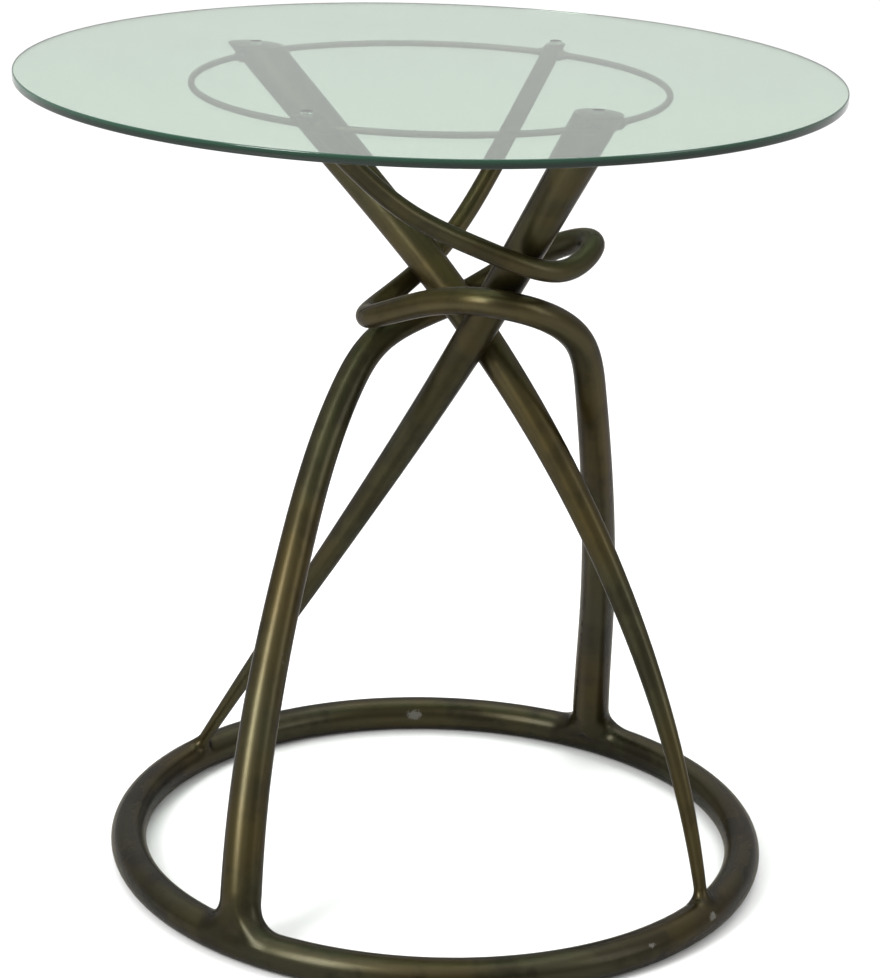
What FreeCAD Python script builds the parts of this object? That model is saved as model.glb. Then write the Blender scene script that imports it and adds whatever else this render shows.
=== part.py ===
"""Round dining table: a loose glass disc on a knotted base of four tapered metal rods.

Two straight legs cross in the knot. Two more rods each make one loop round that crossing and then
come down as the thick legs. A tube ring on the floor and four thin rails under the glass tie the
rods together. Millimetres, +Z up, +X to the right and +Y away from the front, with the origin on
the floor under the middle of the glass.
"""
import FreeCAD
import Part
import Sketcher
import math
import os
from FreeCAD import Placement, Rotation, Vector

# Driving dimensions in millimetres
SIZES = {
    # Whole table: the floor ring stands a little to the right of the glass
    "table_height": 770,
    "base_shift": 26,
    # Glass disc
    "glass_diameter": 750,
    "glass_thickness": 8,
    "glass_arris": 1.2,
    # Floor ring, measured to the middle of its tube
    "floor_ring_radius": 300,
    "floor_tube_diameter": 34,
    # Rails under the glass, and the clear bumpers that carry it
    "top_ring_radius": 216,
    "top_rod_diameter": 6,
    "top_ring_drop": 12,
    "bumper_diameter": 12,
    "bumper_height": 3,
    # Knot: its height from the crossing up to the rails, the sideways scale of its bends, and the air
    # between rods that pass each other
    "knot_shift": 48,
    "knot_height": 218,
    "knot_spread": 100,
    "knot_gap": 2.4,
    # Straight legs, thick at the crown and thin at the foot
    "straight_crown_diameter": 40,
    "straight_knot_diameter": 33,
    "straight_shin_diameter": 23,
    "straight_foot_diameter": 11,
    "straight_crown_inset": 13,
    # Knotted legs, thin at the crown and thick at the foot
    "knotted_crown_diameter": 17,
    "knotted_upper_diameter": 19,
    "knotted_lower_diameter": 26,
    "knotted_foot_diameter": 38.5,
    "knotted_crown_inset": 5,
    # Welds, dressed smooth into flared feet and rail ends, and small beads in the knot
    "thick_foot_flare": 15,
    "thin_foot_flare": 7,
    "crown_weld_length": 12,
    "crown_weld_diameter": 12.5,
    "knot_weld_diameter": 4,
}

# A rod's loft gets a new section at least this often, in millimetres and in degrees of bend
LONGEST_SPAN = 150
LARGEST_BEND = 20
# Degrees between the sections of the floor ring and of the rails
RING_STEP = 10
RAIL_STEP = 15
# Length of a rod's first span, which holds its flat crown end, in rod diameters
CROWN_SPAN = 1.5
# Times that a rod is run again while its passings settle
SETTLING_ROUNDS = 12
# Air at each end of a weld bead, in millimetres
WELD_FIT = 0.005
# Sections of a flared foot: distance from its end in tube radii, and share of the flare there
FOOT_FLARE = ((2.4, 0.0), (1.6, 0.15), (0.95, 0.45), (0.0, 1.0))

doc = FreeCAD.newDocument("knot_table")
sheet = doc.addObject("Spreadsheet::Sheet", "sizes")
for row, (alias, value) in enumerate(SIZES.items(), start=1):
    sheet.set(f"A{row}", alias)
    sheet.set(f"B{row}", str(value))
    sheet.setAlias(f"B{row}", alias)
doc.recompute()


def size(alias):
    """Value of a driving dimension."""
    return float(sheet.get(alias))


# Levels and centres that several pieces share
FLOOR_RING_LEVEL = size("floor_tube_diameter") / 2
TOP_RING_LEVEL = size("table_height") - size("glass_thickness") - size("top_ring_drop")
CROSSING_LEVEL = TOP_RING_LEVEL - size("knot_height")
CROWN_LEVEL = size("table_height") - size("glass_thickness") - size("bumper_height")
CROWN_LEVEL_FORMULA = "sizes.table_height - sizes.glass_thickness - sizes.bumper_height"
FLOOR_CENTRE = Vector(size("base_shift"), 0, FLOOR_RING_LEVEL)
TOP_CENTRE = Vector(0, 0, TOP_RING_LEVEL)
UP = Vector(0, 0, 1)

pieces = []


def keep(piece, node):
    """Names a finished piece and lists it for export."""
    piece.Label = node
    pieces.append(piece)
    return piece


def add(kind, name, **formulas):
    """Adds an object whose listed properties are bound to formulas."""
    thing = doc.addObject(kind, name)
    for prop, formula in formulas.items():
        thing.setExpression(prop, formula)
    return thing


def loft(sections, name, closed=False):
    """Solid ruled through its sections."""
    result = doc.addObject("Part::Loft", f"{name}_loft")
    result.Sections = sections
    result.Solid = True
    result.Ruled = True
    result.Closed = closed
    return result


def cut(base, tools, name):
    """Base with each tool taken away in turn."""
    for tool in tools:
        result = doc.addObject("Part::Cut", f"{name}_cut")
        result.Base = base
        result.Tool = tool
        base = result
    return base


def around(centre, radius, angle):
    """Point of a level circle at an angle counted from +X."""
    turn = math.radians(angle)
    return centre + Vector(radius * math.cos(turn), radius * math.sin(turn), 0)


def facing(point, along, across):
    """Placement at a point, with Z along one direction and X as near as can be to another."""
    return Placement(point, Rotation(across, along.cross(across), along, "ZXY"))


# Glass
def glass_top():
    """Glass disc padded from one circle, with an arris ground along both edges of its rim."""
    body = doc.addObject("PartDesign::Body", "glass_body")
    sketch = body.newObject("Sketcher::SketchObject", "glass_outline")
    plane = [feature for feature in body.Origin.OriginFeatures if feature.Role == "XY_Plane"][0]
    sketch.AttachmentSupport = (plane, [""])
    sketch.MapMode = "FlatFace"
    circle = sketch.addGeometry(Part.Circle(Vector(), UP, size("glass_diameter") / 2))
    sketch.addConstraint(Sketcher.Constraint("Coincident", circle, 3, -1, 1))
    rim = sketch.addConstraint(Sketcher.Constraint("Diameter", circle, size("glass_diameter")))
    sketch.setExpression(f"Constraints[{rim}]", "sizes.glass_diameter")
    pad = body.newObject("PartDesign::Pad", "glass_pad")
    pad.Profile = sketch
    pad.setExpression("Length", "sizes.glass_thickness")
    doc.recompute()
    rims = [f"Edge{i}" for i, edge in enumerate(pad.Shape.Edges, start=1) if edge.isClosed()]
    arris = body.newObject("PartDesign::Chamfer", "glass_rim_arris")
    arris.Base = (pad, rims)
    arris.setExpression("Size", "sizes.glass_arris")
    body.setExpression("Placement.Base.z", "sizes.table_height - sizes.glass_thickness")
    return keep(body, "glass_top")


# Bent ring and rails
def ring_section(centre, ring_radius, angle, radius_formula, name):
    """Circle square to a level ring at an angle."""
    section = add("Part::Circle", f"{name}_section", Radius=radius_formula)
    section.Placement = facing(around(centre, ring_radius, angle), around(Vector(), 1, angle + 90), UP)
    return section


def floor_ring():
    """Tube ring that the legs stand on."""
    count = math.ceil(360 / RING_STEP)
    sections = []
    for i in range(count):
        sections.append(ring_section(FLOOR_CENTRE, size("floor_ring_radius"), 360 * i / count,
                                     "sizes.floor_tube_diameter / 2", "floor_ring"))
    return keep(loft(sections, "floor_ring", closed=True), "floor_ring")


# Tapered rods
class TaperedRod:
    """Centre line of a rod from crown to foot, with named diameters at shares of its length."""

    def __init__(self, points):
        """Runs a smooth line through the points."""
        self.line = Part.BSplineCurve()
        self.line.interpolate(points)
        self.length = self.line.length()
        self.stations = []

    def parameter(self, share):
        """Parameter of the line at a share of its length."""
        return self.line.parameterAtDistance(self.length * share, self.line.FirstParameter)

    def point(self, share):
        """Point of the centre line at a share of its length."""
        return self.line.value(self.parameter(share))

    def direction(self, share):
        """Unit direction towards the foot at a share of the length."""
        return self.line.tangent(self.parameter(share))[0]

    def share_of(self, point):
        """Share of the length at a point of the centre line."""
        return self.line.length(self.line.FirstParameter, self.line.parameter(point)) / self.length

    def share_at(self, level):
        """Share of the length at which the rod first comes down to a level."""
        low, high = 0.0, 1.0
        while high - low > 1e-9:
            middle = (low + high) / 2
            if self.point(middle).z > level:
                low = middle
            else:
                high = middle
        return low

    def blend(self, share):
        """Names of the stations on both sides of a share, and how far it lies between them."""
        for (low, first), (high, second) in zip(self.stations, self.stations[1:]):
            if share <= high:
                break
        return first, second, (share - low) / (high - low)

    def diameter(self, share):
        """Diameter at a share of the length."""
        first, second, part = self.blend(share)
        return size(first) * (1 - part) + size(second) * part

    def radius_formula(self, share):
        """Formula of the radius at a share of the length."""
        first, second, part = self.blend(share)
        return f"(sizes.{first} * {1 - part:.6f} + sizes.{second} * {part:.6f}) / 2"

    def section_shares(self, start, end, samples=400):
        """Shares of the length for sections between two shares, closer together where the rod bends."""
        effort = [0.0]
        spots = [start + (end - start) * i / samples for i in range(samples + 1)]
        for spot, after in zip(spots, spots[1:]):
            bend = math.degrees(self.direction(spot).getAngle(self.direction(after)))
            effort.append(effort[-1] + (after - spot) * self.length / LONGEST_SPAN + bend / LARGEST_BEND)
        count = math.ceil(effort[-1])
        shares = []
        for spot, done in zip(spots, effort):
            if done >= len(shares) * effort[-1] / count:
                shares.append(spot)
        return shares[:count]

    def solid(self, foot_across, flare, name):
        """Rod ruled through sections square to its centre line, with a foot flared along the tube."""
        tube_radius = size("floor_tube_diameter") / 2
        flare_start = 1 - FOOT_FLARE[0][0] * tube_radius / self.length
        crown_end = CROWN_SPAN * self.diameter(0) / self.length
        stops = [(0, 0.0)] + [(share, 0.0) for share in self.section_shares(crown_end, flare_start)]
        stops += [(1 - distance * tube_radius / self.length, spread) for distance, spread in FOOT_FLARE]
        across = foot_across
        sections = []
        for share, spread in reversed(stops):
            along = self.direction(max(share, crown_end))
            across = across - along * across.dot(along)
            across.normalize()
            centre = self.point(share) if share else self.point(crown_end) - along * crown_end * self.length
            radius = self.radius_formula(share)
            if spread:
                narrow = f"sizes.floor_tube_diameter * {0.55 - 0.15 * spread}"
                section = add("Part::Ellipse", f"{name}_flare", MinorRadius=f"min({radius}; {narrow})",
                              MajorRadius=f"{radius} + sizes.{flare} * {spread}")
            else:
                section = add("Part::Circle", f"{name}_section", Radius=radius)
            section.Placement = facing(centre, along, across)
            sections.append(section)
        return loft(sections, name)


def crown_points(angle, diameter, inset, below):
    """Two points at the crown of a rod: one past its flat end and one level with the rails.

    The second is inset from the ring of rails, and both are in line with the point below.
    """
    at_ring = around(TOP_CENTRE, size("top_ring_radius") - size(inset), angle)
    upward = at_ring - below
    rise = CROWN_LEVEL - TOP_RING_LEVEL + size(diameter) / 2
    return [at_ring + upward * (rise / upward.z), at_ring]


def foot_point(angle):
    """Lower end of a rod, inside the floor tube."""
    return around(FLOOR_CENTRE, size("floor_ring_radius"), angle) + UP * size("floor_tube_diameter") * 0.15


def knot_level(height):
    """Level for a height on the scale where the crossing is 0, the rails are 1 and the floor ring -1."""
    above = size("knot_height")
    below = CROSSING_LEVEL - FLOOR_RING_LEVEL
    return CROSSING_LEVEL + height * (above if height > 0 else below)


def knot_point(right, back, height):
    """Point counted sideways from the knot in spreads, with its height on the scale of knot_level."""
    spread = size("knot_spread")
    return Vector(size("knot_shift") + right * spread, back * spread, knot_level(height))


class Passing:
    """Waypoint where a rod passes another, behind it (1) or in front of it (-1)."""

    def __init__(self, other, height, side):
        """Starts on the other rod, at a height on the scale of knot_level."""
        self.other = other
        self.share = other.share_at(knot_level(height))
        self.side = side
        self.apart = 0
        self.point = other.point(self.share)

    def settle(self, rod):
        """Moves the waypoint square to both rods, by what the gap where they come closest still lacks."""
        distance, ends, _ = rod.line.toShape().distToShape(self.other.line.toShape())
        near, far = ends[0]
        diameters = rod.diameter(rod.share_of(near)) + self.other.diameter(self.other.share_of(far))
        self.apart += size("knot_gap") + diameters / 2 - distance
        normal = self.other.direction(self.share).cross(rod.direction(rod.share_of(self.point)))
        normal.normalize()
        self.point = self.other.point(self.share) + normal * math.copysign(self.apart, self.side * normal.y)


def straight_taper(rod, knot):
    """Stations of a straight leg, one of them at its waypoint in the knot."""
    at_knot = rod.share_at(knot.z)
    return [(0, "straight_crown_diameter"), (at_knot, "straight_knot_diameter"),
            ((1 + at_knot) / 2, "straight_shin_diameter"), (1, "straight_foot_diameter")]


def knotted_taper(rod, knot):
    """Stations of a knotted leg."""
    return [(0, "knotted_crown_diameter"), (0.22, "knotted_upper_diameter"),
            (0.42, "knotted_lower_diameter"), (1, "knotted_foot_diameter")]


def bent_rod(kind, taper, crown_angle, foot_angle, waypoints):
    """Rod through its waypoints, run again until its passings have settled."""
    passings = [waypoint for waypoint in waypoints if isinstance(waypoint, Passing)]
    for _ in range(SETTLING_ROUNDS):
        points = [way.point if isinstance(way, Passing) else way for way in waypoints]
        crown = crown_points(crown_angle, f"{kind}_crown_diameter", f"{kind}_crown_inset", points[0])
        rod = TaperedRod([*crown, *points, foot_point(foot_angle)])
        rod.stations = taper(rod, points[0])
        for passing in passings:
            passing.settle(rod)
    return rod


# Angles at which the crowns stand on the ring of rails and the feet on the floor ring
CROWN_ANGLES = {"rear_right": 58, "rear_left": 141.5, "front_left": 244, "front_right": 314.3}
FOOT_ANGLES = {"rear_right": 57.5, "rear_left": 146.8, "front_left": 234.5, "front_right": 326.7}

# Every rod and leg goes by the place of its foot
rods = {}
rods["front_right"] = bent_rod(
    "straight", straight_taper, CROWN_ANGLES["rear_left"], FOOT_ANGLES["front_right"],
    [knot_point(0, 0.21, -0.01), knot_point(1.59, -0.92, -0.52)])
rods["rear_left"] = bent_rod(
    "straight", straight_taper, CROWN_ANGLES["front_right"], FOOT_ANGLES["rear_left"],
    [Passing(rods["front_right"], -0.035, -1), knot_point(-1.78, 1.12, -0.655)])
rods["rear_right"] = bent_rod(
    "knotted", knotted_taper, CROWN_ANGLES["rear_right"], FOOT_ANGLES["rear_right"], [
        knot_point(0.1, 1.25, 0.55),
        Passing(rods["front_right"], 0.235, 1),
        knot_point(-1.01, 0.05, 0.03),
        knot_point(-0.43, -0.52, 0.165),
        Passing(rods["rear_left"], 0.275, -1),
        knot_point(0.94, -0.42, 0.01),
        knot_point(1.085, -0.15, -0.1),
        knot_point(1.345, 1.65, -0.68),
    ])
rods["front_left"] = bent_rod(
    "knotted", knotted_taper, CROWN_ANGLES["front_left"], FOOT_ANGLES["front_left"], [
        knot_point(-0.62, -1.43, 0.64),
        knot_point(0.02, -1.17, 0.475),
        Passing(rods["rear_left"], 0.46, -1),
        knot_point(0.82, -0.78, 0.36),
        knot_point(1.03, -0.4, 0.415),
        knot_point(0.4, 0.4, 0.245),
        Passing(rods["front_right"], 0.095, 1),
        knot_point(-0.92, 0.4, -0.053),
        knot_point(-1.19, 0.15, -0.132),
        knot_point(-1.6, -0.75, -0.384),
        knot_point(-1.92, -1.95, -0.764),
    ])

# Foot of the leg that ends in each crown
CROWN_OWNERS = {"rear_right": "rear_right", "rear_left": "front_right",
                "front_left": "front_left", "front_right": "rear_left"}

glass_top()
ring = floor_ring()

# Everything above the flat crown ends
crown_waste = add("Part::Box", "crown_waste", Length="2 * sizes.glass_diameter",
                  Width="2 * sizes.glass_diameter", Height="sizes.table_height")
crown_waste.setExpression("Placement.Base.x", "-sizes.glass_diameter")
crown_waste.setExpression("Placement.Base.y", "-sizes.glass_diameter")
crown_waste.setExpression("Placement.Base.z", CROWN_LEVEL_FORMULA)


def leg(foot, flare, node):
    """Rod with a flat crown end and a foot coped over the floor tube."""
    foot_across = around(Vector(), 1, FOOT_ANGLES[foot] + 90)
    return keep(cut(rods[foot].solid(foot_across, flare, node), [crown_waste, ring], node), node)


legs = {
    "front_right": leg("front_right", "thin_foot_flare", "straight_leg_front_right"),
    "rear_left": leg("rear_left", "thin_foot_flare", "straight_leg_rear_left"),
    "rear_right": leg("rear_right", "thick_foot_flare", "knotted_leg_rear_right"),
    "front_left": leg("front_left", "thick_foot_flare", "knotted_leg_front_left"),
}


def top_rail(start, end, node):
    """Thin rail from crown to crown, with both ends flared, straight and coped to the legs."""
    radius = size("top_ring_radius")
    thin = "sizes.top_rod_diameter / 2"
    thick = "sizes.crown_weld_diameter / 2"
    half = f"({thin} * 0.7 + {thick} * 0.3)"
    sweep = (CROWN_ANGLES[end] - CROWN_ANGLES[start]) % 360
    half_weld = size("crown_weld_length") / 2
    inner = [rods[CROWN_OWNERS[crown]].diameter(0) / 2 + half_weld for crown in (start, end)]
    outer = [math.degrees((reach + half_weld) / radius) for reach in inner]
    bare = sweep - sum(outer)
    count = math.ceil(bare / RAIL_STEP)
    sections = []
    for i in range(count + 1):
        angle = CROWN_ANGLES[start] + outer[0] + bare * i / count
        sections.append(ring_section(TOP_CENTRE, radius, angle, thin, node))
    for crown, reach, way in ((start, inner[0], 1), (end, inner[1], -1)):
        shoulder = ring_section(TOP_CENTRE, radius, CROWN_ANGLES[crown] + way * math.degrees(reach / radius),
                                half, node)
        tip = add("Part::Circle", f"{node}_tip", Radius=thick)
        tip.Placement = shoulder.Placement * Placement(Vector(0, 0, -way * reach), Rotation())
        sections = [tip, shoulder] + sections if way > 0 else sections + [shoulder, tip]
    owners = [legs[CROWN_OWNERS[crown]] for crown in (start, end)]
    return keep(cut(loft(sections, node), owners, node), node)


top_rail("rear_right", "rear_left", "top_rail_rear")
top_rail("rear_left", "front_left", "top_rail_left")
top_rail("front_left", "front_right", "top_rail_front")
top_rail("front_right", "rear_right", "top_rail_right")
doc.recompute()


# Beads in the knot
def knot_weld(first, second, node):
    """Weld bead that fills the gap where two legs come closest."""
    gap, ends, _ = legs[first].Shape.distToShape(legs[second].Shape)
    start, end = ends[0]
    bead = add("Part::Cylinder", node, Radius="sizes.knot_weld_diameter / 2")
    bead.Height = gap - 2 * WELD_FIT
    bead.Placement = Placement(start + (end - start) * (WELD_FIT / gap), Rotation(UP, end - start))
    return keep(bead, node)


knot_weld("front_right", "rear_left", "knot_weld_crossing")
knot_weld("front_right", "rear_right", "knot_weld_upper_rear")
knot_weld("front_right", "front_left", "knot_weld_lower_rear")
knot_weld("rear_left", "rear_right", "knot_weld_lower_front")
knot_weld("rear_left", "front_left", "knot_weld_upper_front")


# Pads
def glass_bumper(crown):
    """Clear disc between a flat crown end and the glass."""
    rod = rods[CROWN_OWNERS[crown]]
    bumper = add("Part::Cylinder", f"glass_bumper_{crown}", Radius="sizes.bumper_diameter / 2",
                 Height="sizes.bumper_height")
    bumper.Placement = Placement(rod.point(rod.share_at(CROWN_LEVEL)), Rotation())
    bumper.setExpression("Placement.Base.z", CROWN_LEVEL_FORMULA)
    return keep(bumper, f"glass_bumper_{crown}")


for crown in CROWN_ANGLES:
    glass_bumper(crown)

# Checks and export
doc.recompute()
for thing in doc.Objects:
    if {"Invalid", "Error"} & set(thing.State):
        raise RuntimeError(f"{thing.Label} did not build: {thing.State}")
os.makedirs("parts", exist_ok=True)
for piece in pieces:
    if piece.Shape.isNull() or not piece.Shape.Solids or not piece.Shape.isValid():
        raise RuntimeError(f"{piece.Label} has no valid shape")
    piece.Shape.exportStep(f"parts/{piece.Label}.step")
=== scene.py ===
"""Dresses the round knot table: a loose glass disc on four looped bronze rods, in a plain studio."""
import logging
import math
from dataclasses import dataclass, field
from enum import Enum
from typing import Optional, Sequence, Union

import bmesh
import bpy
import numpy as np
from mathutils import Matrix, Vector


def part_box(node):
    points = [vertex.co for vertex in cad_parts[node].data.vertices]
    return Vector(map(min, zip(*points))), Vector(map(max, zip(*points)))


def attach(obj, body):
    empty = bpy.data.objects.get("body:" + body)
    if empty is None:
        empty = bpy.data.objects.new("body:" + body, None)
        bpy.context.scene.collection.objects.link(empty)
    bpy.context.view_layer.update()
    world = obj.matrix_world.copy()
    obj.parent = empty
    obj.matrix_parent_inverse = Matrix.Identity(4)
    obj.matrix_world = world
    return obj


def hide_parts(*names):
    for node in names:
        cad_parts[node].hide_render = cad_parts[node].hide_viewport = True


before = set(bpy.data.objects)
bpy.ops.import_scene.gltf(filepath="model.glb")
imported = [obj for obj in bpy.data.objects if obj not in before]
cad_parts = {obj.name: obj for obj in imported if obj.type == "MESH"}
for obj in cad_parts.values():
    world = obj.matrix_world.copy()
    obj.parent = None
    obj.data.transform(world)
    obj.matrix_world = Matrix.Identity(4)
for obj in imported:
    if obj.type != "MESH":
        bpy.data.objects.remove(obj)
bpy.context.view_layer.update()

MM = 0.001
TINY = 1e-9
RIGHT, BACK, UP = np.eye(3)
LOG = logging.getLogger("knot_table")

Triple = tuple[float, float, float]
Material = bpy.types.Material
Node = bpy.types.Node
Piece = bpy.types.Object
Socket = bpy.types.NodeSocket
Tree = bpy.types.NodeTree
Value = Union[Socket, float, tuple[float, ...]]


class Body(Enum):
    """Bodies that the pieces ride on."""

    BASE = "base"
    GLASS = "glass"


class Slot(Enum):
    """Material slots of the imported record."""

    GLASS = "glass"
    BRONZE = "bronze_metal"
    BUMPER = "clear_bumper"


class Corner(Enum):
    """Corners of the base, named from the front, in their order round it."""

    REAR_RIGHT = "rear_right"
    REAR_LEFT = "rear_left"
    FRONT_LEFT = "front_left"
    FRONT_RIGHT = "front_right"


class Leg(Enum):
    """Kinds of leg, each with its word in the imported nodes' names."""

    CROSSING = "straight"
    LOOPED = "knotted"


class Side(Enum):
    """Side on which a rod passes another, seen from the front."""

    BEHIND = 1
    IN_FRONT = -1


# Small geometry

def unit(vector: np.ndarray) -> np.ndarray:
    """Vector of length one in the same direction."""
    return vector / np.linalg.norm(vector)


def square_to(vector: np.ndarray, along: np.ndarray) -> np.ndarray:
    """Unit direction of the part of a vector that is square to a unit direction."""
    return unit(vector - along * np.dot(vector, along))


def eased(share: np.ndarray) -> np.ndarray:
    """Shares from 0 to 1, eased at both ends."""
    return share * share * (3 - 2 * share)


def full_turn(count: int) -> np.ndarray:
    """Evenly spaced angles of a whole turn, in radians."""
    return np.linspace(0, math.tau, count, endpoint=False)


def spokes_of(turn: np.ndarray, first: np.ndarray, second: np.ndarray) -> np.ndarray:
    """Unit directions at angles that count from a first direction towards a second one, square to it."""
    return np.outer(np.cos(turn), first) + np.outer(np.sin(turn), second)


def node_box(node: str) -> tuple[np.ndarray, np.ndarray]:
    """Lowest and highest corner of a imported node, in millimetres."""
    low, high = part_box(node)
    return np.array(low) / MM, np.array(high) / MM


# Shader groups

class NodeBench:
    """Short ways to add and wire the nodes of one tree."""

    def __init__(self, tree: Tree) -> None:
        """Takes the tree to work on."""
        self.tree = tree

    def add(self, kind: str, **settings: object) -> Node:
        """Adds a node.

        Args:
            kind: Node type without its ShaderNode prefix.
            **settings: Properties of the node.

        Returns:
            The new node.
        """
        node = self.tree.nodes.new(f"ShaderNode{kind}")
        for name, value in settings.items():
            setattr(node, name, value)
        return node

    def fill(self, node: Node, values: dict[Union[str, int], Value]) -> Node:
        """Links outputs to a node's inputs, or sets the inputs to constants.

        Args:
            node: Node to fill.
            values: What goes into each input, by the input's name or number.

        Returns:
            The same node.
        """
        for name, value in values.items():
            socket = node.inputs[name]
            if isinstance(value, Socket):
                self.tree.links.new(value, socket)
            elif socket.type == "RGBA" and len(value) == 3:
                socket.default_value = (*value, 1.0)
            else:
                socket.default_value = value
        return node

    def group(self, tree: Tree, **values: Value) -> Node:
        """Places a shader group with its own values."""
        return self.fill(self.add("Group", node_tree=tree), values)

    def place(self) -> Socket:
        """Place on the object, in metres."""
        return self.add("TexCoord").outputs["Object"]

    def skin_place(self) -> Node:
        """Node with the place on a skin: X in turns round it, and Y along it."""
        return self.fill(self.add("SeparateXYZ"), {0: self.add("UVMap", uv_map="rod").outputs[0]})

    def math(self, operation: str, *values: Value) -> Socket:
        """Result of an operation on values."""
        return self.fill(self.add("Math", operation=operation), dict(enumerate(values))).outputs[0]

    def ramp(self, value: Value, low: Value, high: Value, start: float = 0.0, end: float = 1.0) -> Socket:
        """Maps a value smoothly from one range to another.

        Args:
            value: Value to map.
            low: Value that gives the start.
            high: Value that gives the end.
            start: Result at the low value and before it.
            end: Result at the high value and beyond it.

        Returns:
            The mapped value.
        """
        node = self.add("MapRange", interpolation_type="SMOOTHSTEP")
        return self.fill(node, dict(enumerate((value, low, high, start, end)))).outputs[0]

    def mix(self, share: Socket, first: Value, second: Value) -> Socket:
        """Colour between two others, by the share of the second; 6, 7 and 2 are the node's colour sockets."""
        return self.fill(self.add("Mix", data_type="RGBA"), {0: share, 6: first, 7: second}).outputs[2]

    def noise(self, vector: Socket, scale: float = 1.0, detail: float = 3.0, rough: float = 0.5) -> Socket:
        """Value of a noise.

        Args:
            vector: Place in the noise.
            scale: Number of lumps to a unit of length.
            detail: Octaves of finer noise.
            rough: Strength of each octave beside the one before it.

        Returns:
            The noise's value, about 0.5.
        """
        return self.fill(self.add("TexNoise"), {
            "Vector": vector, "Scale": scale, "Detail": detail, "Roughness": rough}).outputs[0]

    def stretched(self, vector: Socket, scale: Triple) -> Socket:
        """Vector scaled axis by axis."""
        return self.fill(self.add("VectorMath", operation="MULTIPLY"), {0: vector, 1: scale}).outputs[0]

    def bump(self, height: Socket, strength: float, distance: float) -> Socket:
        """Normal of a surface with a fine relief."""
        return self.fill(self.add("Bump"), {
            "Height": height, "Strength": strength, "Distance": distance}).outputs[0]


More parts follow.
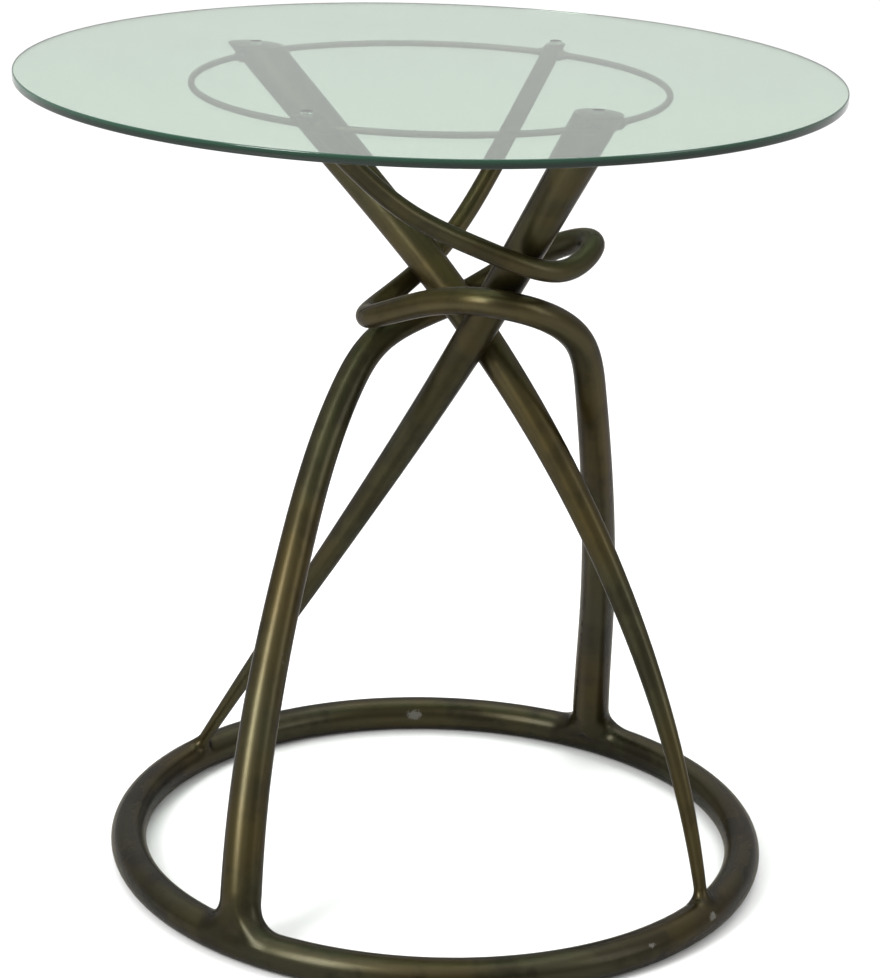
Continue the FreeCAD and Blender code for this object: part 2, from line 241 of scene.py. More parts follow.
class ShaderGroups:
    """Node groups that several finishes share, each built once."""

    def __init__(self) -> None:
        """Builds the groups."""
        self.patina = self._patina()
        self.scuffs = self._scuffs()
        self.knock = self._knock()
        self.smudges = self._smudges()

    @staticmethod
    def _open(name: str, inputs: dict[str, Value], outputs: Sequence[str]) -> tuple[NodeBench, Node, Node]:
        """Starts a group.

        Args:
            name: Name of the group.
            inputs: Default of each input; a tuple of four is a colour and one of three a vector.
            outputs: Names of the outputs; Color is a colour and the others are values.

        Returns:
            Bench of the group's tree, its input node and its output node.
        """
        tree = bpy.data.node_groups.new(name, "ShaderNodeTree")
        for label, default in inputs.items():
            kind = "NodeSocketFloat"
            if isinstance(default, tuple):
                kind = "NodeSocketColor" if len(default) == 4 else "NodeSocketVector"
            tree.interface.new_socket(label, in_out="INPUT", socket_type=kind).default_value = default
        for label in outputs:
            kind = "NodeSocketColor" if label == "Color" else "NodeSocketFloat"
            tree.interface.new_socket(label, in_out="OUTPUT", socket_type=kind)
        return NodeBench(tree), tree.nodes.new("NodeGroupInput"), tree.nodes.new("NodeGroupOutput")

    @staticmethod
    def _rod_space(bench: NodeBench) -> Socket:
        """Wraps a rod's own coordinates round it, so that patterns have no seam.

        Args:
            bench: Bench of the group's tree.

        Returns:
            Cosine and sine of the turn round the rod, and the metres along it.
        """
        skin = bench.skin_place()
        turn = bench.math("MULTIPLY", skin.outputs["X"], math.tau)
        wrapped = bench.fill(bench.add("CombineXYZ"), {
            "X": bench.math("COSINE", turn), "Y": bench.math("SINE", turn), "Z": skin.outputs["Y"]})
        return wrapped.outputs[0]

    def _patina(self) -> Tree:
        """Builds the rubbed patina: drifting hue, mottle, dark welds, soft lengthwise rubbing and grain.

        Returns:
            The group.
        """
        bench, given, result = self._open(
            "rubbed_patina",
            {"Dark": (0.01, 0.01, 0.01, 1), "Olive": (0.04, 0.04, 0.02, 1), "Brown": (0.05, 0.03, 0.01, 1),
             "Rubbed": (0.1, 0.08, 0.04, 1), "Mottle": 0.5, "Rub": 0.5},
            ("Color", "Grain"))
        place, space = bench.place(), self._rod_space(bench)
        weld = bench.add("Attribute", attribute_name="weld").outputs["Fac"]
        drift = bench.ramp(bench.noise(place, scale=6.0, rough=0.55), low=0.40, high=0.62)
        cloud = bench.ramp(bench.noise(place, scale=22.0, detail=4.0, rough=0.6), low=0.55, high=0.38)
        ground = bench.mix(drift, given.outputs["Olive"], given.outputs["Brown"])
        for mask, strength in ((cloud, given.outputs["Mottle"]), (weld, 0.45)):
            ground = bench.mix(bench.math("MULTIPLY", mask, strength), ground, given.outputs["Dark"])
        broad = bench.noise(bench.stretched(space, (0.9, 0.9, 2.6)))
        fine = bench.noise(bench.stretched(space, (5.0, 5.0, 9.0)))
        uneven = bench.math("MULTIPLY", bench.math("SUBTRACT", fine, 0.5), 0.16)
        rub = bench.ramp(bench.math("ADD", broad, uneven), low=0.42, high=0.78)
        worn = bench.math("MULTIPLY", bench.math("MULTIPLY", rub, given.outputs["Rub"]),
                          bench.math("SUBTRACT", 1.0, weld))
        bench.fill(result, {
            "Color": bench.mix(worn, ground, given.outputs["Rubbed"]),
            "Grain": bench.noise(bench.stretched(space, (26.0, 26.0, 260.0)), detail=4.0, rough=0.6)})
        return bench.tree

    def _scuffs(self) -> Tree:
        """Builds sparse ragged scuffs, where a broad noise lets a finer one through.

        Returns:
            The group.
        """
        bench, given, result = self._open("paint_scuffs", {"Spread": 0.6}, ("Mask",))
        place, spread = bench.place(), given.outputs["Spread"]
        whole = bench.math("ADD", spread, 0.05)
        patch = bench.ramp(bench.noise(place, scale=14.0, detail=2.0), low=spread, high=whole)
        ragged = bench.ramp(bench.noise(place, scale=170.0, detail=4.0, rough=0.62), low=0.60, high=0.68)
        bench.fill(result, {"Mask": bench.math("MULTIPLY", patch, ragged)})
        return bench.tree

    def _knock(self) -> Tree:
        """Builds one knocked spot: a ragged, flattened patch of a given radius round a point.

        Returns:
            The group.
        """
        bench, given, result = self._open(
            "knocked_spot", {"Center": (0.0, 0.0, 0.0), "Radius": 0.006}, ("Mask",))
        place, centre = bench.place(), given.outputs["Center"]
        apart = bench.fill(bench.add("VectorMath", operation="SUBTRACT"), {0: place, 1: centre})
        flattened = bench.stretched(apart.outputs[0], (1.0, 1.0, 1.8))
        length = bench.fill(bench.add("VectorMath", operation="LENGTH"), {0: flattened}).outputs["Value"]
        ragged = bench.math("SUBTRACT", bench.noise(place, scale=300.0, detail=4.0, rough=0.7), 0.5)
        reach = bench.math("ADD", bench.math("DIVIDE", length, given.outputs["Radius"]),
                           bench.math("MULTIPLY", ragged, 2.6))
        bench.fill(result, {"Mask": bench.ramp(reach, low=1.15, high=0.7)})
        return bench.tree

    def _smudges(self) -> Tree:
        """Builds wiped smudges and settled dust for a clear surface.

        Returns:
            The group.
        """
        bench, given, result = self._open(
            "wiped_smudges", {"Scale": 6.0, "Low": 0.0, "High": 0.05}, ("Roughness", "Haze", "Height"))
        place, low = bench.place(), given.outputs["Low"]
        wipe = bench.fill(bench.add("TexWave", wave_type="RINGS", wave_profile="SIN"), {
            "Vector": place, "Scale": given.outputs["Scale"], "Distortion": 9.0, "Detail": 3.0})
        cloud = bench.noise(place, scale=9.0, detail=5.0, rough=0.6)
        haze = bench.ramp(bench.math("MULTIPLY", wipe.outputs["Fac"], cloud), low=0.22, high=0.72)
        span = bench.math("SUBTRACT", given.outputs["High"], low)
        bench.fill(result, {
            "Roughness": bench.math("ADD", low, bench.math("MULTIPLY", haze, span)),
            "Haze": haze,
            "Height": bench.noise(place, scale=3.0, detail=2.0)})
        return bench.tree


# Finishes

@dataclass(frozen=True)
class Finish:
    """Base of the finishes: a named material with a Principled shader."""

    name: str

    def start(self) -> tuple[Material, NodeBench, Node]:
        """Makes the bare material.

        Returns:
            The material, the bench of its tree and its Principled shader.
        """
        material = bpy.data.materials.new(self.name)
        material.use_nodes = True
        return material, NodeBench(material.node_tree), material.node_tree.nodes["Principled BSDF"]


@dataclass(frozen=True)
class Knock:
    """Spot where the finish is knocked off, in metres."""

    centre: Triple
    radius: float


@dataclass(frozen=True)
class BronzeFinish(Finish):
    """Dark olive bronze with a satin patina, rubbed lighter along the rods and scuffed in places."""

    dark: Triple = (0.0064, 0.0051, 0.0019)
    olive: Triple = (0.0235, 0.0218, 0.0094)
    brown: Triple = (0.0298, 0.0219, 0.0063)
    rubbed: Triple = (0.0680, 0.0570, 0.0265)
    primer: Triple = (0.0620, 0.0600, 0.0510)
    mottle: float = 0.45
    rub: float = 0.40
    roughness: tuple[float, float] = (0.31, 0.41)
    metallic: float = 0.78
    specular: float = 0.25
    specular_tint: Triple = (0.36, 0.32, 0.22)
    coat: float = 0.16
    coat_roughness: float = 0.28
    coat_ior: float = 1.45
    spread: float = 0.68
    scuff_roughness: float = 0.2
    scuff_metallic: float = 0.1
    scuff_depth: float = 0.8
    knocks: tuple[Knock, ...] = ()

    def material(self, groups: ShaderGroups) -> Material:
        """Builds the material.

        Args:
            groups: Shader groups to place in it.

        Returns:
            The finished material.
        """
        material, bench, shader = self.start()
        patina = bench.group(groups.patina, Dark=self.dark, Olive=self.olive, Brown=self.brown,
                             Rubbed=self.rubbed, Mottle=self.mottle, Rub=self.rub)
        mask = bench.group(groups.scuffs, Spread=self.spread).outputs["Mask"]
        for knock in self.knocks:
            spot = bench.group(groups.knock, Center=knock.centre, Radius=knock.radius)
            mask = bench.math("MAXIMUM", mask, spot.outputs["Mask"])
        grain = patina.outputs["Grain"]
        satin = bench.ramp(grain, 0.25, 0.75, *self.roughness)
        relief = bench.math("SUBTRACT", grain, bench.math("MULTIPLY", mask, self.scuff_depth))
        bench.fill(shader, {
            "Base Color": bench.mix(mask, patina.outputs["Color"], self.primer),
            "Roughness": bench.math("ADD", satin, bench.math("MULTIPLY", mask, self.scuff_roughness)),
            "Metallic": bench.ramp(mask, 0.0, 1.0, self.metallic, self.scuff_metallic),
            "Normal": bench.bump(relief, strength=0.06, distance=0.0005),
            "Specular IOR Level": self.specular,
            "Specular Tint": self.specular_tint,
            "Coat Weight": self.coat,
            "Coat Roughness": self.coat_roughness,
            "Coat IOR": self.coat_ior})
        return material


@dataclass(frozen=True)
class GlassFinish(Finish):
    """Clear float glass with a pale green cast and a few wiped smudges."""

    tint: Triple = (0.475, 0.610, 0.490)
    haze: float = 0.97
    smudge: tuple[float, float] = (0.0, 0.01)
    shade: float = 0.95
    ior: float = 1.52

    def material(self, groups: ShaderGroups) -> Material:
        """Builds the material, which lets most of the light through to what stands under it.

        Args:
            groups: Shader groups to place in it.

        Returns:
            The finished material.
        """
        material, bench, shader = self.start()
        low, high = self.smudge
        smudges = bench.group(groups.smudges, Low=low, High=high)
        hazed = tuple(value * self.haze for value in self.tint)
        shadow = bench.math("MULTIPLY", bench.add("LightPath").outputs["Is Shadow Ray"], self.shade)
        bench.fill(shader, {
            "Base Color": bench.mix(smudges.outputs["Haze"], self.tint, hazed),
            "Roughness": smudges.outputs["Roughness"],
            "Alpha": bench.math("SUBTRACT", 1.0, shadow),
            "Transmission Weight": 1.0,
            "IOR": self.ior})
        return material


@dataclass(frozen=True)
class GlassEdgeFinish(Finish):
    """Ground rim of the glass, deep green because it is seen through its whole width, with painted shade that
    makes it darkest below.
    """

    # Painted shade: deep is the rim's colour at its lower edge, darker than the pale green higher up.
    deep: Triple = (0.0012, 0.0070, 0.0032)
    pale: Triple = (0.016, 0.058, 0.034)
    clear: float = 0.3
    specular: float = 0.2
    ior: float = 1.52

    def material(self, groups: ShaderGroups) -> Material:
        """Builds the material.

        Args:
            groups: Shader groups to place in it.

        Returns:
            The finished material.
        """
        material, bench, shader = self.start()
        smudges = bench.group(groups.smudges, Scale=2.0, Low=0.12, High=0.26)
        ragged = bench.math("MULTIPLY", bench.math("SUBTRACT", smudges.outputs["Haze"], 0.5), 0.25)
        height = bench.math("ADD", bench.skin_place().outputs["Y"], ragged)
        # Painted shade: the rim's colour darkens from pale higher up to deep at its lower edge.
        bench.fill(shader, {
            "Base Color": bench.mix(bench.ramp(height, low=0.15, high=1.0), self.deep, self.pale),
            "Roughness": smudges.outputs["Roughness"],
            "Normal": bench.bump(smudges.outputs["Height"], strength=0.05, distance=0.0004),
            "Transmission Weight": self.clear,
            "IOR": self.ior,
            "Specular IOR Level": self.specular})
        return material


@dataclass(frozen=True)
class BumperFinish(Finish):
    """Clear soft plastic, faintly grey and slightly hazy."""

    clear: Triple = (0.80, 0.83, 0.80)
    dusty: Triple = (0.62, 0.65, 0.61)
    ior: float = 1.45

    def material(self, groups: ShaderGroups) -> Material:
        """Builds the material.

        Args:
            groups: Shader groups to place in it.

        Returns:
            The finished material.
        """
        material, bench, shader = self.start()
        smudges = bench.group(groups.smudges, Scale=40.0, Low=0.05, High=0.2)
        bench.fill(shader, {
            "Base Color": bench.mix(smudges.outputs["Haze"], self.clear, self.dusty),
            "Roughness": smudges.outputs["Roughness"],
            "Normal": bench.bump(smudges.outputs["Height"], strength=0.1, distance=0.0002),
            "Transmission Weight": 1.0,
            "IOR": self.ior})
        return material


@dataclass(frozen=True)
class FloorFinish(Finish):
    """Plain pale studio floor with a barely visible unevenness."""

    pale: Triple = (0.60, 0.60, 0.60)
    paler: Triple = (0.63, 0.63, 0.625)
    roughness: tuple[float, float] = (0.75, 0.9)
    specular: float = 0.1

    def material(self) -> Material:
        """Builds the material.

        Returns:
            The finished material.
        """
        material, bench, shader = self.start()
        cloud = bench.noise(bench.place(), scale=1.5)
        bench.fill(shader, {
            "Base Color": bench.mix(cloud, self.pale, self.paler),
            "Roughness": bench.ramp(cloud, 0.3, 0.7, *self.roughness),
            "Specular IOR Level": self.specular})
        return material


ROD_BRONZE = BronzeFinish("rod_bronze")
# Painted shade: the ring's olive and brown are darker than the rods', for the shade on the ring down at the
# floor.
RING_BRONZE = BronzeFinish(
    "ring_bronze", olive=(0.0185, 0.0176, 0.0084), brown=(0.0235, 0.0178, 0.0060), mottle=0.65, rub=0.25,
    spread=0.66, knocks=(Knock((-0.001, 0.2822, 0.0212), 0.0085), Knock((0.287, -0.180, 0.025), 0.0065),
                         Knock((0.226, -0.2455, 0.026), 0.004)))
RAIL_BRONZE = BronzeFinish("rail_bronze", mottle=0.4, rub=0.25)
WELD_BRONZE = BronzeFinish("weld_bronze", olive=(0.026, 0.022, 0.010), rub=0.2)
PALE_GLASS = GlassFinish("pale_glass")
GLASS_RIM = GlassEdgeFinish("glass_rim")
CLEAR_PLASTIC = BumperFinish("clear_plastic")
PALE_FLOOR = FloorFinish("pale_floor")


# Lines and skins

@dataclass
class SmoothLine:
    """Smooth line through points in millimetres, read by share of its length."""

    points: Sequence[np.ndarray]
    steps: int = 60
    samples: np.ndarray = field(init=False)
    shares: np.ndarray = field(init=False)
    length: float = field(init=False)

    def __post_init__(self) -> None:
        """Runs the line, with a number of steps on each span between two points."""
        ways = np.array(self.points, float)
        spans = np.linalg.norm(np.diff(ways, axis=0), axis=1)
        slopes = self._slopes(ways, spans)
        part = np.linspace(0, 1, self.steps, endpoint=False)[:, None]
        runs = []
        for i, span in enumerate(spans):
            points = (1 - eased(part)) * ways[i] + eased(part) * ways[i + 1]
            bends = part * (1 - part) ** 2 * slopes[i] + part ** 2 * (part - 1) * slopes[i + 1]
            runs.append(points + span * bends)
        self.samples = np.vstack([*runs, ways[-1:]])
        steps_taken = np.linalg.norm(np.diff(self.samples, axis=0), axis=1)
        run = np.concatenate(([0.0], np.cumsum(steps_taken)))
        self.length = float(run[-1])
        self.shares = run / self.length

    @classmethod
    def _slopes(cls, ways: np.ndarray, spans: np.ndarray) -> np.ndarray:
        """Slopes of the smoothest cubic line at its points.

        Args:
            ways: Points of the line.
            spans: Distances between them.

        Returns:
            One slope for each point.
        """
        at = np.concatenate(([0.0], np.cumsum(spans)))
        system = np.eye(len(ways))
        right = np.zeros_like(ways)
        right[0] = cls._end_slope(at[:4], ways[:4])
        right[-1] = cls._end_slope(at[:-5:-1], ways[:-5:-1])
        for i in range(1, len(ways) - 1):
            before, after = spans[i - 1], spans[i]
            system[i, i - 1:i + 2] = after, 2 * (before + after), before
            behind, ahead = ways[i] - ways[i - 1], ways[i + 1] - ways[i]
            right[i] = 3 * (after / before * behind + before / after * ahead)
        return np.linalg.solve(system, right)

    @staticmethod
    def _end_slope(at: np.ndarray, ways: np.ndarray) -> np.ndarray:
        """Slope of the cubic through four points, at the first of them.

        Args:
            at: Distances of the points along the line.
            ways: The points.

        Returns:
            The slope.
        """
        slope = ways[0] * np.sum(1 / (at[0] - at[1:]))
        for i in range(1, 4):
            others = [j for j in range(4) if j != i]
            top = np.prod([at[0] - at[j] for j in others if j])
            slope = slope + ways[i] * top / np.prod([at[i] - at[j] for j in others])
        return slope

    def point(self, share: float) -> np.ndarray:
        """Point at a share of the length."""
        return np.array([np.interp(share, self.shares, self.samples[:, axis]) for axis in range(3)])

    def direction(self, share: float, step: float = 5e-4) -> np.ndarray:
        """Unit direction at a share of the length."""
        return unit(self.point(min(share + step, 1.0)) - self.point(max(share - step, 0.0)))

    def share_at(self, level: float) -> float:
        """Finds where the line first comes down to a level.

        Args:
            level: Height in millimetres.

        Returns:
            Share of the length.
        """
        index = int(np.argmax(self.samples[:, 2] <= level))
        above, below = self.samples[index - 1:index + 1, 2]
        low, high = self.shares[index - 1:index + 1]
        return float(low + (high - low) * (above - level) / (above - below))


@dataclass
class Rod:
    """Tapered rod: a smooth line from crown to foot, with diameters at shares of its length."""

    line: SmoothLine
    shares: Sequence[float]
    diameters: Sequence[float]

    def radius(self, share: float) -> float:
        """Radius at a share of the length."""
        return float(np.interp(share, self.shares, self.diameters)) / 2

    def nearest(self, other: "Rod") -> tuple[float, float, float]:
        """Finds where two rods come closest.

        Args:
            other: The other rod.

        Returns:
            Share on this rod, share on the other one, and the distance of their centre lines.
        """
        apart = np.linalg.norm(self.line.samples[:, None] - other.line.samples[None], axis=2)
        mine, its = np.unravel_index(np.argmin(apart), apart.shape)
        return float(self.line.shares[mine]), float(other.line.shares[its]), float(apart[mine, its])


@dataclass
class Passing:
    """Waypoint where a rod passes another at a level, moved until the wanted gap is left between them."""

    other: Rod
    level: float
    side: Side
    apart: float = field(init=False, default=0.0)
    share: float = field(init=False)
    point: np.ndarray = field(init=False)

    def __post_init__(self) -> None:
        """Starts on the other rod."""
        self.share = self.other.line.share_at(self.level)
        self.point = self.other.line.point(self.share)

    def settle(self, rod: Rod, gap: float) -> None:
        """Moves the waypoint square to both rods, by what the gap still lacks.

        Args:
            rod: The rod that passes.
            gap: Air to be left where the two come closest.
        """
        mine, its, distance = rod.nearest(self.other)
        self.apart += gap + rod.radius(mine) + self.other.radius(its) - distance
        here = rod.line.shares[np.argmin(np.linalg.norm(rod.line.samples - self.point, axis=1))]
        normal = unit(np.cross(self.other.line.direction(self.share), rod.line.direction(here)))
        move = normal * math.copysign(self.apart, self.side.value * normal[1])
        self.point = self.other.line.point(self.share) + move


Waypoint = Union[np.ndarray, Passing]


class Skin:
    """Mesh skinned over rings of points, with coordinates round and along it."""

    def __init__(self, name: str) -> None:
        """Starts an empty mesh.

        Args:
            name: Name of the piece.
        """
        self.name = name
        self.mesh = bmesh.new()
        self.uv = self.mesh.loops.layers.uv.new("rod")
        self.weld = self.mesh.verts.layers.float.new("weld")

    def tube(self, rings: Sequence[np.ndarray], along: Sequence[float], closed: bool = False,
             welded: Optional[Sequence[np.ndarray]] = None) -> None:
        """Adds a tube.

        Args:
            rings: Points in millimetres, by ring and by place round it.
            along: Distance of each ring along the tube; one more than the rings if closed.
            closed: Whether the last ring joins the first one; an open tube gets faces over its ends.
            welded: How near each point is to the middle of a weld, from 0 to 1.
        """
        rows = [[self.mesh.verts.new(point * MM) for point in ring] for ring in rings]
        count = len(rows[0])
        for row, shares in zip(rows, welded or ()):
            for vert, share in zip(row, shares):
                vert[self.weld] = float(share)
        for i in range(len(rows) if closed else len(rows) - 1):
            near, far = rows[i], rows[(i + 1) % len(rows)]
            for j in range(count):
                k = (j + 1) % count
                face = self.mesh.faces.new((near[j], near[k], far[k], far[j]))
                spots = ((j, i), (j + 1, i), (j + 1, i + 1), (j, i + 1))
                for loop, (u, v) in zip(face.loops, spots):
                    loop[self.uv].uv = (u / count, along[v])
        if not closed:
            self.mesh.faces.new(rows[0][::-1])
            self.mesh.faces.new(rows[-1])

    def level_off(self, level: float, round_over: float) -> None:
        """Cuts everything above a level away and rounds the edge of the flat end.

        Args:
            level: Height of the flat end, in millimetres.
            round_over: Size of the rounded edge, in millimetres.
        """
        everything = self.mesh.verts[:] + self.mesh.edges[:] + self.mesh.faces[:]
        cut = bmesh.ops.bisect_plane(self.mesh, geom=everything, plane_co=UP * level * MM, plane_no=UP,
                                     clear_outer=True)
        rim = [edge for edge in cut["geom_cut"] if isinstance(edge, bmesh.types.BMEdge)]
        bmesh.ops.edgeloop_fill(self.mesh, edges=rim)
        bmesh.ops.bevel(self.mesh, geom=rim, offset=round_over * MM, segments=3, profile=0.5,
                        affect="EDGES")

    def finish(self, body: Body, slot: Slot, materials: Sequence[Material], node: str,
               crease: float = 40.0) -> Piece:
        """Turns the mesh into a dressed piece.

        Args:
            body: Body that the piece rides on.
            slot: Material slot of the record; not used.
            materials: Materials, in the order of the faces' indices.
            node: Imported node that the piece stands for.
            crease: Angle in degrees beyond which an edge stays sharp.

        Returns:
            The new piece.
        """
        bmesh.ops.recalc_face_normals(self.mesh, faces=self.mesh.faces[:])
        data = bpy.data.meshes.new(self.name)
        self.mesh.to_mesh(data)
        self.mesh.free()
        data.set_sharp_from_angle(angle=math.radians(crease))
        data.polygons.foreach_set("use_smooth", [face.loop_total <= 4 for face in data.polygons])
        for material in materials:
            data.materials.append(material)
        piece = bpy.data.objects.new(self.name, data)
        bpy.context.scene.collection.objects.link(piece)
        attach(piece, body.value)
        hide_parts(node)
        return piece


@dataclass
class Disc:
    """Disc with both rim edges rounded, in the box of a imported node."""

    node: str
    arris: float
    around: int
    arris_steps: int = 4

    def skin(self, name: str) -> Skin:
        """Turns the disc.

        Args:
            name: Name of the piece.

        Returns:
            Skin of the disc, which counts from 0 at its lower face to 1 at its upper one.
        """
        low, high = node_box(self.node)
        radius = (high[0] - low[0]) / 2 - self.arris
        centre = (low + high) / 2
        turn = np.linspace(0, math.pi / 2, self.arris_steps + 1)
        widths = radius + self.arris * np.sin(turn)
        drops = (high[2] - low[2]) / 2 - self.arris + self.arris * np.cos(turn)
        widths, heights = np.append(widths, widths[::-1]), np.append(-drops, drops[::-1])
        spokes = spokes_of(full_turn(self.around), RIGHT, BACK)
        rings = [centre + width * spokes + height * UP for width, height in zip(widths, heights)]
        skin = Skin(name)
        skin.tube(rings, (heights - heights[0]) / (heights[-1] - heights[0]))
        return skin


# Sub-assemblies

@dataclass
class FloorRing:
    """Tube ring on the floor that the four feet are welded to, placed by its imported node."""

    node: str = "floor_ring"
    segments: int = 200
    around: int = 48
    fine_step: float = 1.8
    centre: np.ndarray = field(init=False)
    radius: float = field(init=False)
    tube: float = field(init=False)

    def __post_init__(self) -> None:
        """Reads the ring's place and sizes from its node."""
        low, high = node_box(self.node)
        self.centre = (low + high) / 2
        self.tube = float(high[2] - low[2])
        self.radius = float(high[0] - low[0] - self.tube) / 2

    def spot(self, angle: float) -> np.ndarray:
        """Point in the middle of the tube at an angle in degrees."""
        turn = math.radians(angle)
        return self.centre + self.radius * np.array([math.cos(turn), math.sin(turn), 0.0])

    def depth(self, points: np.ndarray) -> tuple[np.ndarray, np.ndarray]:
        """Finds how points lie to the tube's surface.

        Args:
            points: Points in millimetres.

        Returns:
            Distance from the surface, negative inside it, and the unit directions out of the tube.
        """
        out = (points - self.centre) * (RIGHT + BACK)
        out = points - self.centre - out * (self.radius / np.linalg.norm(out, axis=-1, keepdims=True))
        far = np.linalg.norm(out, axis=-1, keepdims=True) + TINY
        return far[..., 0] - self.tube / 2, out / far

    def _stops(self, feet: Sequence["Foot"]) -> np.ndarray:
        """Spaces the sections, closer at the feet.

        Args:
            feet: Feet that are welded on.

        Returns:
            Angles of the sections, in degrees.
        """
        angles = set(np.linspace(0, 360, self.segments, endpoint=False))
        for foot in feet:
            half = math.degrees(foot.reach / self.radius)
            count = round(2 * foot.reach / self.fine_step)
            angles = {angle for angle in angles if abs(angle - foot.angle) > half}
            angles |= set(np.linspace(foot.angle - half, foot.angle + half, count))
        return np.array(sorted(angles))

    def build(self, bronze: Material, feet: Sequence["Foot"]) -> list[Piece]:
        """Builds the ring, swelling into the feet, and dresses it.

        Args:
            bronze: Material.
            feet: Feet that are welded on.

        Returns:
            The ring.
        """
        turn, stops = full_turn(self.around), self._stops(feet)
        rings, welded = [], []
        for angle in stops:
            spokes = spokes_of(turn, unit(self.spot(angle) - self.centre), UP)
            points = self.spot(angle) + self.tube / 2 * spokes
            heat = np.zeros(self.around)
            for foot in feet:
                if math.radians(abs(angle - foot.angle)) * self.radius < foot.reach:
                    points = points + foot.way_out(points, spokes, of_rod=False)[:, None] * spokes
                    heat = foot.heat(points)
            rings.append(points)
            welded.append(heat)
        along = np.radians(np.append(stops, stops[0] + 360)) * self.radius * MM
        skin = Skin("ring_tube")
        skin.tube(rings, along, closed=True, welded=welded)
        return [skin.finish(Body.BASE, Slot.BRONZE, [bronze], self.node)]


@dataclass
class Foot:
    """Foot of a leg: it runs into the floor tube in a hollow curve that the skins of both follow.

    Attributes:
        rod: Rod that ends in the foot.
        floor: Ring that it is welded to.
        angle: Place on the ring, in degrees.
        fillet: Reach of the hollow curve.
        margin: Length beyond the curve that still belongs to the foot.
        tracked: Length of rod that is followed, in tube diameters, besides the fillet.
        sections: Sections of that length.
        let_in_run: Length over which the rod narrows into the tube, in tube diameters.
        let_in_half: Half width to which it narrows, in tube diameters.
        corner: Turn between the two surfaces that makes a whole corner, as 1 minus its cosine.
        fade: Height over which the curve comes in above the tube's middle, in tube diameters.
        fade_start: Share of it that there is at the tube's middle.
        least: Least share of the curve.
        overlap: Half of the longest way out of a bare surface, in fillets.
        steps: Steps of that way.
        sink: How far a skin dips under the other one beyond the middle of the curve.
        sink_run: Length over which it does so, in fillets.
        heat_run: Length over which the heat of the weld falls off, in fillets.
    """

    rod: Rod
    floor: FloorRing
    angle: float
    fillet: float
    margin: float = 6.0
    tracked: float = 3.0
    sections: int = 140
    let_in_run: float = 1.2
    let_in_half: float = 0.4
    corner: float = 0.5
    fade: float = 0.3
    fade_start: float = 0.3
    least: float = 0.02
    overlap: float = 0.3
    steps: int = 80
    sink: float = 0.25
    sink_run: float = 0.2
    heat_run: float = 0.75
    reach: float = field(init=False)
    side: np.ndarray = field(init=False)
    centres: np.ndarray = field(init=False)
    frames: np.ndarray = field(init=False)
    radii: np.ndarray = field(init=False)

    def __post_init__(self) -> None:
        """Takes sections of the bare rod near its end."""
        line, turn = self.rod.line, math.radians(self.angle)
        self.reach = self.rod.radius(1.0) + self.fillet + self.margin
        self.side = np.array([-math.sin(turn), math.cos(turn), 0.0])
        first = 1 - (self.tracked * self.floor.tube + self.fillet) / line.length
        shares = np.linspace(first, 1, self.sections)
        self.centres = np.array([line.point(share) for share in shares])
        self.frames = np.array([self._frame(line.direction(share)) for share in shares])
        self.radii = np.array([self.half_widths(share) for share in shares])

    def _frame(self, along: np.ndarray) -> tuple[np.ndarray, np.ndarray]:
        """Directions of a section: along the floor tube and across it."""
        first = square_to(self.side, along)
        return first, np.cross(along, first)

    def half_widths(self, share: float) -> tuple[float, float]:
        """Finds the half widths of the bare rod, which is let into the tube.

        Args:
            share: Share of the rod's length.

        Returns:
            Half widths along the floor tube and across it.
        """
        radius, tube = self.rod.radius(share), self.floor.tube
        sunk = np.clip(1 - (1 - share) * self.rod.line.length / (self.let_in_run * tube), 0, 1)
        return radius, radius + (min(radius, self.let_in_half * tube) - radius) * eased(sunk)

    def _joined(self, points: np.ndarray) -> tuple[np.ndarray, np.ndarray, np.ndarray]:
        """Finds how points lie to the rod and the tube, and how far the hollow curve between them reaches.

        Args:
            points: Points in millimetres.

        Returns:
            Distance from the bare rod and from the bare tube, negative inside, and reach of the curve:
            whole in a corner on top of the tube, least where the surfaces run side by side or under it.
        """
        nearest = np.argmin(np.linalg.norm(points[..., None, :] - self.centres, axis=-1), axis=-1)
        out = points - self.centres[nearest]
        flat = np.einsum("...i,...ji->...j", out, self.frames[nearest])
        far = np.linalg.norm(flat, axis=-1) + TINY
        rod = far * (1 - 1 / np.linalg.norm(flat / self.radii[nearest], axis=-1).clip(TINY))
        beyond_end = np.where(nearest == self.sections - 1, out @ self.rod.line.direction(1.0), -np.inf)
        from_rod = np.einsum("...j,...ji->...i", flat / far[..., None], self.frames[nearest])
        tube, from_tube = self.floor.depth(points)
        corner = np.clip((1 - np.sum(from_rod * from_tube, axis=-1)) / self.corner, self.least, 1)
        height = (points[..., 2] - self.floor.centre[2]) / (self.fade * self.floor.tube)
        high = np.clip(height + self.fade_start, self.least, 1)
        return np.maximum(rod, beyond_end), tube, self.fillet * eased(corner) * eased(high)

    def way_out(self, points: np.ndarray, spokes: np.ndarray, of_rod: bool) -> np.ndarray:
        """Finds the way from points of a bare surface until they come out of the joined one.

        Args:
            points: Points to start from.
            spokes: Unit directions of the ways.
            of_rod: Whether the surface is the rod's, or else the tube's.

        Returns:
            One length for each point.
        """
        steps = np.linspace(0, 2 * self.overlap * self.fillet, self.steps)
        rod, tube, reach = self._joined(points + steps[:, None, None] * spokes)
        near = np.clip(1 - np.abs(rod - tube) / reach, 0, None)
        outside = np.minimum(rod, tube) - near ** 2 * reach / 4
        beyond = (rod - tube if of_rod else tube - rod) / (self.sink_run * self.fillet)
        outside = outside + self.sink * np.clip(beyond, 0, 1) ** 2
        outside = np.maximum(outside, steps[:, None] - self.overlap * (reach + self.fillet))
        free = outside > 0
        out = np.where(free.any(axis=0), np.argmax(free, axis=0), len(steps) - 1)
        before, column = np.maximum(out - 1, 0), np.arange(len(points))
        low, high = outside[before, column], outside[out, column]
        part = np.clip(-low / np.maximum(high - low, TINY), 0, 1)
        return steps[before] + part * (steps[out] - steps[before])

